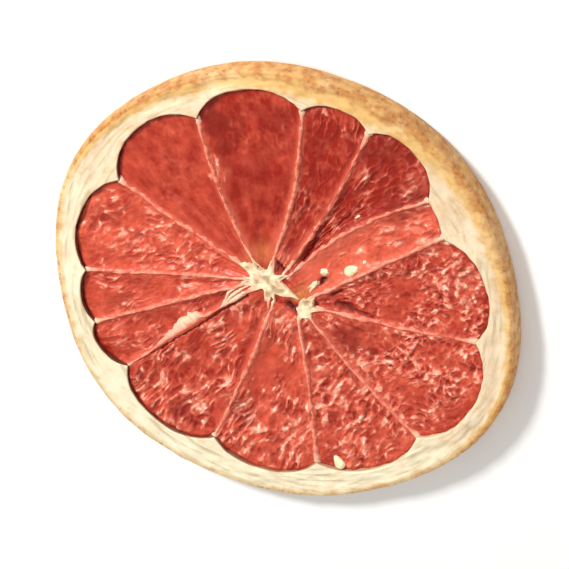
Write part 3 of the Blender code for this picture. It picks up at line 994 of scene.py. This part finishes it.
class Finish:
    """A material being built: its tree, and its shader."""

    def __init__(self, name, **sockets):
        self.material = bpy.data.materials.new(name)
        self.material.use_nodes = True
        self.tree = self.material.node_tree
        self.shader = self.tree.nodes["Principled BSDF"]
        for socket, value in sockets.items():
            self.set(self.shader, socket.replace("_", " "), value)
        self.set(self.shader, "Subsurface Scale", SCATTERING)

    def set(self, node, socket, value):
        """Links another node's output to a socket, or sets the socket to a value or a hex colour."""
        if isinstance(value, bpy.types.NodeSocket):
            self.tree.links.new(value, node.inputs[socket])
        else:
            node.inputs[socket].default_value = linear(value) if isinstance(value, str) else value

    def node(self, kind, sockets, output=0, **settings):
        """Adds a node with its settings and its sockets' values or links, and gives one output.

        Sockets are given by name or number, or as a list of values from the first socket on.
        """
        made = self.tree.nodes.new("ShaderNode" + kind)
        for setting, value in settings.items():
            setattr(made, setting, value)
        numbered = sockets if isinstance(sockets, dict) else dict(enumerate(sockets))
        for socket, value in numbered.items():
            self.set(made, socket, value)
        return made.outputs[output]

    def finished(self, colour, coats, reliefs):
        """The material, with coats of colour over its first one, and fine relief.

        Each coat has its share and its colour, and each relief its pattern and its height.
        """
        self.set(self.shader, "Base Color", self.painted(colour, coats))
        normal = None
        for pattern, height in reliefs:
            sockets = {"Height": pattern, "Distance": height, "Strength": RELIEF_STRENGTH}
            if normal:
                sockets["Normal"] = normal
            normal = self.node("Bump", sockets)
        if normal:
            self.set(self.shader, "Normal", normal)
        return self.material

    def painted(self, colour, coats):
        """A colour with coats over it. Each coat has the share in which it shows, and its colour."""
        for share, coat in coats:
            colour = self.node("Mix", {0: share, 6: colour, 7: coat}, 2, data_type="RGBA")
        return colour


def flesh_material():
    """Dried citrus flesh: a glassy, translucent red skin with salmon walls round its sunken sacs."""
    finish = Finish(
        "dried citrus flesh",
        Roughness=0.40,
        IOR=1.40,
        Specular_IOR_Level=0.35,
        Subsurface_Weight=0.10,
        Subsurface_Radius=(1.0, 0.25, 0.12),
        Coat_Roughness=0.18,
    )
    node = finish.node
    place = node("TexCoord", {}, "Object")
    flow = node("Attribute", {}, "Vector", attribute_name="flow")
    own_tone = node("SeparateXYZ", [flow], 2)
    web, wall, deep, pink, amber = [
        node("Attribute", {}, "Fac", attribute_name=name) for name in FLESH_MASKS
    ]

    # Streaks and strokes along the sacs, 1.3 mm and 0.95 mm wide and about as long as a sac
    along_sacs = []
    for width, to_sac, detail in ((1.3 * MM, 1.0, 2.0), (0.95 * MM, 0.92, 1.5)):
        stretched = node("Mapping", {"Vector": flow, "Scale": (1.0 / width, to_sac, 0.0)})
        along_sacs.append(node("TexNoise", {"Vector": stretched, "Scale": 1.0, "Detail": detail}))
    streak, stroke = along_sacs
    # Patches of 3 mm, blobs of 0.75 mm and grain of 0.3 mm
    patch, blob, grain = [
        node("TexNoise", {"Vector": place, "Scale": 1.0 / size, "Detail": detail})
        for size, detail in ((3.0 * MM, 3.0), (0.75 * MM, 2.0), (0.3 * MM, 2.0))
    ]

    # The tone between deep red and salmon is uneven, and more so where the sacs stand out
    by_patch = node("MapRange", [patch, 0.3, 0.7, -0.4, 0.4])
    by_streak = node("MapRange", [streak, 0.3, 0.7, -0.3, 0.3])
    by_blob = node("Math", [web, node("MapRange", [blob, 0.3, 0.7, -0.3, 0.3])], operation="MULTIPLY")
    uneven = node("Math", [by_patch, by_streak], operation="ADD")
    uneven = node("Math", [uneven, by_blob], operation="ADD")
    contrast = node("MapRange", [web, 0.0, 1.0, 0.6, 1.0])
    uneven = node("Math", [uneven, contrast], operation="MULTIPLY")
    tone = node("Math", [own_tone, uneven], operation="ADD")

    # Painted shade in the furrows between the strokes, and pale crests on those that lie in clusters:
    # partly the sacs' pale walls, partly painted highlight on the raised strokes
    furrow_shade = node("Math", [node("MapRange", [stroke, 0.46, 0.32]), web], operation="MULTIPLY")
    by_wall = node("MapRange", [wall, 0.02, 0.4, 0.3, 1.0])
    crest = node("Math", [node("MapRange", [stroke, 0.46, 0.64]), by_wall], operation="MULTIPLY")
    cluster = node("Math", [web, node("MapRange", [patch, 0.31, 0.53])], operation="MULTIPLY")
    by_tone = node("MapRange", [own_tone, 0.0, 0.4, 0.6, 1.0])
    cluster = node("Math", [cluster, by_tone], operation="MULTIPLY")
    pale = node("Math", [crest, node("MapRange", [cluster, 0.05, 0.6])], operation="MULTIPLY")
    pale = node("Math", [pale, node("MapRange", [blob, 0.3, 0.5, 0.5])], operation="MULTIPLY")
    # Painted glints: near white on the palest crests, where the blobs are highest
    painted_glint = node("Math", [pale, node("MapRange", [blob, 0.50, 0.62])], operation="MULTIPLY")

    coats = (
        (tone, "#da5b41"),
        (amber, "#c47a42"),
        (node("MapRange", [wall, 0.1, 0.8, 0.0, 0.65]), "#e6765c"),
        (node("MapRange", [furrow_shade, 0.0, 1.0, 0.0, 0.7]), "#7c1406"),
        (node("MapRange", [pale, 0.1, 0.7, 0.0, 0.9]), "#f9a88c"),
        (node("MapRange", [painted_glint, 0.3, 0.9, 0.0, 0.9]), "#ffdcc8"),
        (pink, "#dc6a50"),
        # Dark red, then nearly black: dark patches, painted shade in creases and the deepest sacs, and
        # painted shadow along the pith
        (node("MapRange", [deep, 0.0, 0.7, 0.0, 0.85]), "#76150d"),
        (node("MapRange", [deep, 0.65, 1.0, 0.0, 0.9]), "#330b04"),
    )
    # The glassy skin is gone from the dark places: dark patches, torn creases, the deepest sacs and the
    # pith's edge
    finish.set(finish.shader, "Coat Weight", node("MapRange", [deep, 0.2, 0.7, 0.09, 0.0]))
    raised = node("Math", [stroke, web], operation="MULTIPLY")
    return finish.finished("#961c0a", coats, ((raised, 0.42 * MM), (blob, 0.20 * MM), (grain, 0.04 * MM)))


def segment_wall_material():
    """Dried segment wall: thin parchment, salmon pink and turning cream at its ends."""
    finish = Finish(
        "dried segment wall", Roughness=0.6, Subsurface_Weight=0.15, Subsurface_Radius=(1.0, 0.4, 0.2)
    )
    node = finish.node
    place = node("TexCoord", {}, "Object")
    mottle = node("TexNoise", {"Vector": place, "Scale": 1.0 / (1.0 * MM), "Detail": 3.0})
    cream = node("Attribute", {}, "Fac", attribute_name="cream")
    coats = (
        (node("MapRange", [mottle, 0.38, 0.62]), "#f29478"),
        (cream, "#f3d3b2"),
    )
    return finish.finished("#dc6a52", coats, ((mottle, 0.15 * MM),))


def pith_and_rind_material():
    """Dried citrus peel: matt cream pith with fine wrinkles, and a satin golden tan rind."""
    finish = Finish(
        "dried pith and rind", Roughness=0.62, Subsurface_Weight=0.10, Subsurface_Radius=(1.0, 0.7, 0.4)
    )
    node = finish.node
    place = node("TexCoord", {}, "Object")
    flow = node("Attribute", {}, "Vector", attribute_name="flow")
    toasted, rind_share, browning_and_shadow = [
        node("Attribute", {}, "Fac", attribute_name=name) for name in ("toasted", "rind", "browning_and_shadow")
    ]
    # Streaks round the ring, 6 mm long, 0.8 mm wide and 1.5 mm high on the side
    stretched = node("Mapping", {"Vector": flow, "Scale": (1 / (6.0 * MM), 1 / (0.8 * MM), 1 / (1.5 * MM))})
    streak = node("TexNoise", {"Vector": stretched, "Scale": 1.0, "Detail": 3.0})
    # Patches of 8 mm, mottling of 1.8 mm, specks of 0.7 mm and grain of 0.4 mm
    patch, mottle, speck, grain = [
        node("TexNoise", {"Vector": place, "Scale": 1.0 / size, "Detail": detail})
        for size, detail in ((8.0 * MM, 2.0), (1.8 * MM, 3.0), (0.7 * MM, 2.0), (0.4 * MM, 3.0))
    ]

    by_patch = node("MapRange", [patch, 0.35, 0.65, -0.35, 0.35])
    uneven = node("Math", [toasted, by_patch], operation="ADD")
    by_mottle = node("MapRange", [mottle, 0.35, 0.65, -0.16, 0.16])
    share = node("Math", [rind_share, by_mottle], operation="ADD")
    most_toasted = node("MapRange", [uneven, 0.0, 0.9])
    pith = (
        (node("MapRange", [uneven, 0.0, 1.0]), "#e8ceac"),
        (node("MapRange", [streak, 0.52, 0.68, 0.0, 0.65]), "#b2a27a"),
    )
    golden = (
        (most_toasted, "#deaf62"),
        (node("MapRange", [mottle, 0.46, 0.72, 0.0, 0.55]), "#bc8038"),
    )
    rind = (
        (most_toasted, "#c08040"),
        (node("MapRange", [speck, 0.50, 0.66, 0.0, 0.6]), "#8a4c1a"),
    )
    coats = (
        (node("MapRange", [share, 0.0, 0.5, 0.0, 0.9]), finish.painted("#ead2a4", golden)),
        (node("MapRange", [share, 0.72, 1.10]), finish.painted("#dcba88", rind)),
        # Tan, then dark brown on the lip and the inner wall: partly browning, partly painted shadow,
        # darkest at the left
        (node("MapRange", [browning_and_shadow, 0.1, 0.5, 0.0, 0.7]), "#b97a4a"),
        (node("MapRange", [browning_and_shadow, 0.45, 0.85, 0.0, 0.92]), "#551c0c"),
    )
    reliefs = ((streak, 0.15 * MM), (grain, 0.06 * MM))
    return finish.finished(finish.painted("#f0e4c4", pith), coats, reliefs)


def core_material():
    """Dried core: cream pith, fibrous, with tan painted shade in its pits."""
    finish = Finish(
        "dried core", Roughness=0.6, Subsurface_Weight=0.15, Subsurface_Radius=(1.0, 0.7, 0.4)
    )
    node = finish.node
    place = node("TexCoord", {}, "Object")
    patch = node("TexNoise", {"Vector": place, "Scale": 1.0 / (1.4 * MM), "Detail": 4.0})
    pit_shade, pink = [node("Attribute", {}, "Fac", attribute_name=name) for name in ("pit_shade", "pink")]
    coats = (
        (node("MapRange", [patch, 0.42, 0.66]), "#dcb088"),
        (node("Math", [pit_shade, 0.8], operation="MULTIPLY"), "#a48f62"),
        (pink, "#ee9a80"),
    )
    return finish.finished("#f6e6c0", coats, ((patch, 0.25 * MM),))


def pip_material():
    """Undeveloped pip: pale cream, smooth and slightly waxy."""
    finish = Finish(
        "undeveloped pip", Roughness=0.4, Subsurface_Weight=0.2, Subsurface_Radius=(1.0, 0.8, 0.5)
    )
    node = finish.node
    place = node("TexCoord", {}, "Object")
    patch = node("TexNoise", {"Vector": place, "Scale": 1.0 / (0.9 * MM), "Detail": 2.0})
    coats = ((node("MapRange", [patch, 0.35, 0.65]), "#eed49c"),)
    return finish.finished("#fbf0cc", coats, ())


# The camera looks down on the slice from the far right, turned so that the plan's +X stays rightwards
CAMERA_DIRECTION = 57.0
CAMERA_OFF_SQUARE = 34.4
CAMERA_DISTANCE = 650.0 * MM
CAMERA_WIDTH = 101.0 * MM
CAMERA_SENSOR = 36.0
CAMERA_CLIP = (0.05, 20.0)

# Each light's name, direction, elevation, distance, size and power
LIGHTS = (("key", 128.0, 38.0, 0.7, 0.12, 4.8), ("fill", 20.0, 60.0, 0.9, 0.6, 1.6))
FLOOR_SIZE = 3.0
FLOOR_ROUGHNESS = 0.9
SURROUNDINGS = 0.55


def camera_axes():
    """The camera's right, up and backward directions."""
    turn, tilt = radians(CAMERA_DIRECTION), radians(CAMERA_OFF_SQUARE)
    back = Vector((sin(tilt) * cos(turn), sin(tilt) * sin(turn), cos(tilt)))
    near = Vector((cos(tilt) * cos(turn), cos(tilt) * sin(turn), -sin(tilt)))
    side = Vector((-sin(turn), cos(turn), 0.0))
    return cos(turn) * near - sin(turn) * side, sin(turn) * near + cos(turn) * side, back


def add_camera():
    data = bpy.data.cameras.new("camera")
    data.sensor_width = CAMERA_SENSOR
    data.lens = CAMERA_SENSOR * CAMERA_DISTANCE / CAMERA_WIDTH
    data.clip_start, data.clip_end = CAMERA_CLIP
    camera = bpy.data.objects.new("camera", data)
    right, up, back = camera_axes()
    middle = Vector((0.0, 0.0, THICKNESS / 2.0))
    turned = Matrix((right, up, back)).transposed().to_4x4()
    camera.matrix_world = Matrix.Translation(middle + back * CAMERA_DISTANCE) @ turned
    bpy.context.scene.collection.objects.link(camera)
    bpy.context.scene.camera = camera


def add_light(name, direction, elevation, distance, size, power):
    """A square soft light that faces the slice."""
    data = bpy.data.lights.new(name, "AREA")
    data.size = size
    data.energy = power
    lamp = bpy.data.objects.new(name, data)
    turn, rise = radians(direction), radians(elevation)
    back = Vector((cos(turn) * cos(rise), sin(turn) * cos(rise), sin(rise)))
    lamp.location = back * distance
    lamp.rotation_euler = back.to_track_quat("Z", "Y").to_euler()
    bpy.context.scene.collection.objects.link(lamp)


def add_studio():
    """A pale floor in soft light, with the main light from the far left."""
    bm = bmesh.new()
    bmesh.ops.create_grid(bm, x_segments=1, y_segments=1, size=FLOOR_SIZE)
    mesh = bpy.data.meshes.new("floor")
    bm.to_mesh(mesh)
    bm.free()
    paper = Finish("matt paper", Base_Color="#f4f3f1", Roughness=FLOOR_ROUGHNESS)
    mesh.materials.append(paper.material)
    floor = bpy.data.objects.new("floor", mesh)
    bpy.context.scene.collection.objects.link(floor)
    world = bpy.data.worlds.new("studio")
    world.use_nodes = True
    background = world.node_tree.nodes["Background"]
    background.inputs["Color"].default_value = linear("#f8f6f3")
    background.inputs["Strength"].default_value = SURROUNDINGS
    bpy.context.scene.world = world
    for light in LIGHTS:
        add_light(*light)
    bpy.context.scene.view_settings.view_transform = "Standard"


def main():
    core = core_material()
    flesh, segment_wall = flesh_material(), segment_wall_material()
    peel_piece(pith_and_rind_material())
    core_bed_piece(flesh)
    for number in range(len(CORE_LOBES)):
        core_lobe_piece(number, core)
    for segment in range(len(MEMBRANES)):
        pulp_piece(segment, flesh)
        membrane_piece(segment, 0, segment_wall)
    for fold in range(1, FOLD_COUNT + 1):
        membrane_piece(FALLEN_MEMBRANE, fold, segment_wall)
    pip = pip_material()
    for index in range(len(PIPS)):
        pip_piece(index, pip)
    crumbs_piece(core)
    add_camera()
    add_studio()


main()
